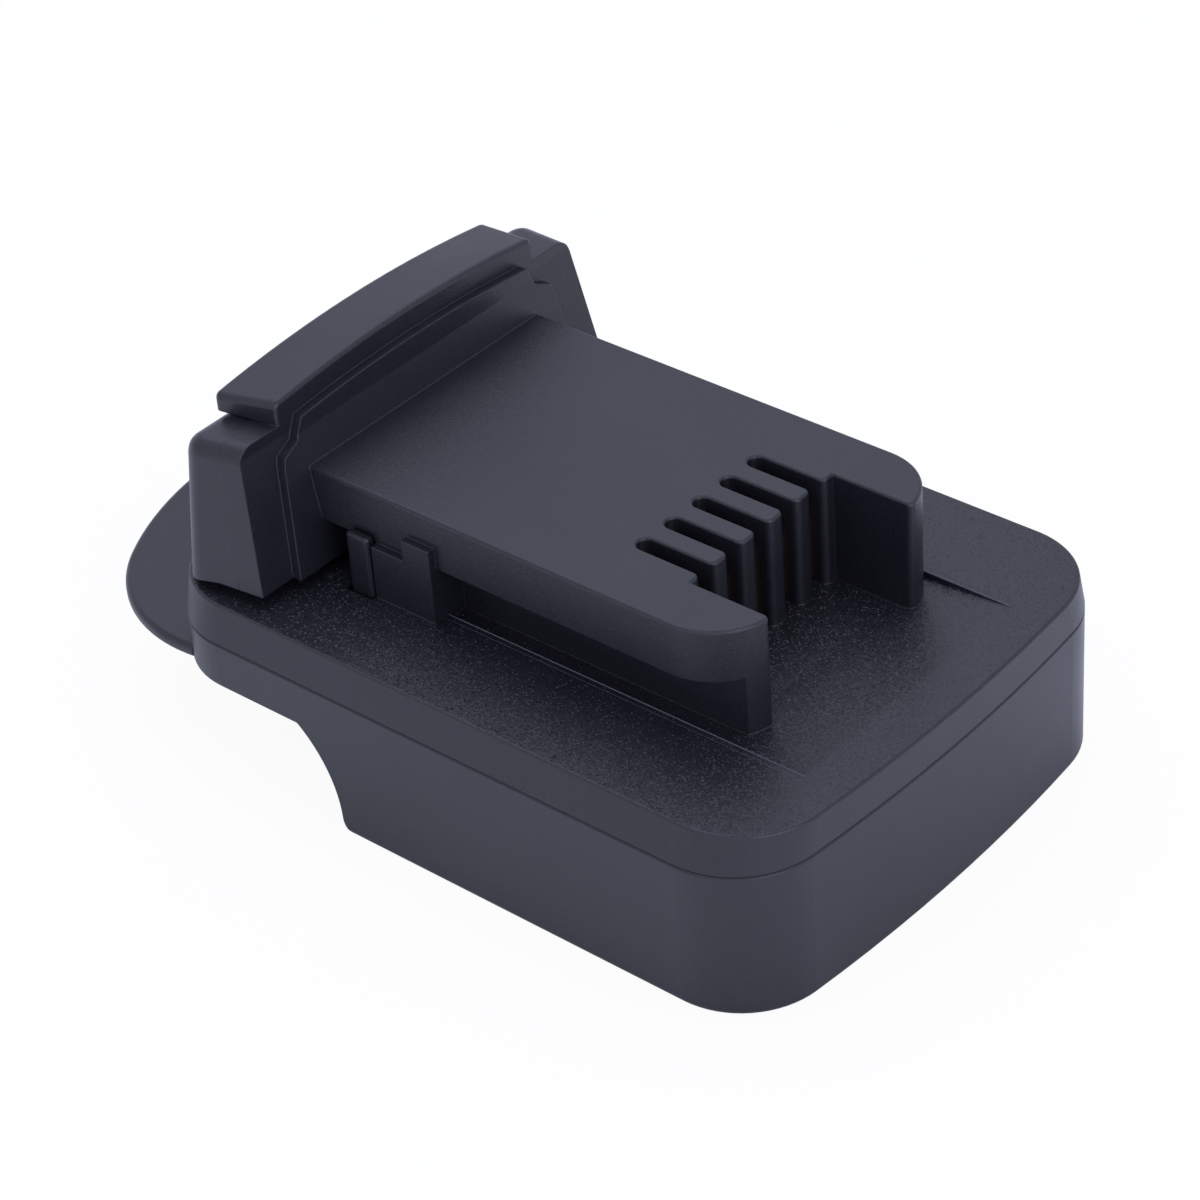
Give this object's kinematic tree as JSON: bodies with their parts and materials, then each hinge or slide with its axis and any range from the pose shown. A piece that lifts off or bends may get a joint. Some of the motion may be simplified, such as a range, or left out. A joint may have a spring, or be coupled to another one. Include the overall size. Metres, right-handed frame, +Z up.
{
  "type": "tool battery adapter",
  "caption": "Slide-on battery adapter with a slotted rail block on top, an upright stepped bezel, a battery bay underneath and a sprung release tongue with latch posts.",
  "frame": {"origin": "middle of the underside of the object's bounding box, on the plane that the lower shell stands on", "axes": "+X forward, the way a tool leaves the rails; +Z up through the rail block; the tongue points to -X"},
  "size_m": [0.1246, 0.075, 0.0529],
  "materials": {
    "shell_plastic": "black moulded plastic with a spark-eroded grain",
    "cover_plastic": "black moulded plastic with a fine grain",
    "lever_plastic": "black moulded plastic, fine grain",
    "pin_steel": "drawn steel",
    "spring_steel": "spring steel wire",
    "contact_brass": "rolled copper alloy strip",
    "carrier_plastic": "glass-filled plastic",
    "board_laminate": "solder mask over glass laminate",
    "component_plastic": "moulded component bodies",
    "capacitor_plastic": "moulded capacitor body",
    "red_insulation": "extruded insulation",
    "black_insulation": "extruded insulation",
    "screw_steel": "zinc-plated steel"
  },
  "bodies": {
    "housing": {"upper_shell": "shell_plastic", "rear_cover": "cover_plastic", "lower_shell": "shell_plastic", "lever_pin": "pin_steel", "lever_spring_left": "spring_steel", "lever_spring_right": "spring_steel", "contact_carrier": "carrier_plastic", "positive_fork_contact": "contact_brass", "negative_fork_contact": "contact_brass", "sense_fork_contact": "contact_brass", "signal_fork_contact": "contact_brass", "thermal_fork_contact": "contact_brass", "circuit_board": "board_laminate", "power_transistor": "component_plastic", "control_chip": "component_plastic", "smoothing_capacitor": "capacitor_plastic", "battery_terminal_block": "carrier_plastic", "positive_blade": "contact_brass", "negative_blade": "contact_brass", "signal_blade": "contact_brass", "positive_lead": "red_insulation", "negative_lead": "black_insulation", "shell_screws": "screw_steel", "rear_cover_screws": "screw_steel", "board_screws": "screw_steel", "terminal_block_screws": "screw_steel"},
    "lever": {"release_lever": "lever_plastic"}
  },
  "joints": [
    {"name": "lever_hinge", "type": "hinge", "parent": "housing", "child": "lever", "pos_m": [0.0146, 0, 0.0199], "axis": [0, -1, 0], "range_deg": [0, 4], "stiffness_Nm_per_rad": 1.06, "springref_deg": -6.88, "deforming": ["lever_spring_left", "lever_spring_right"]}
  ]
}
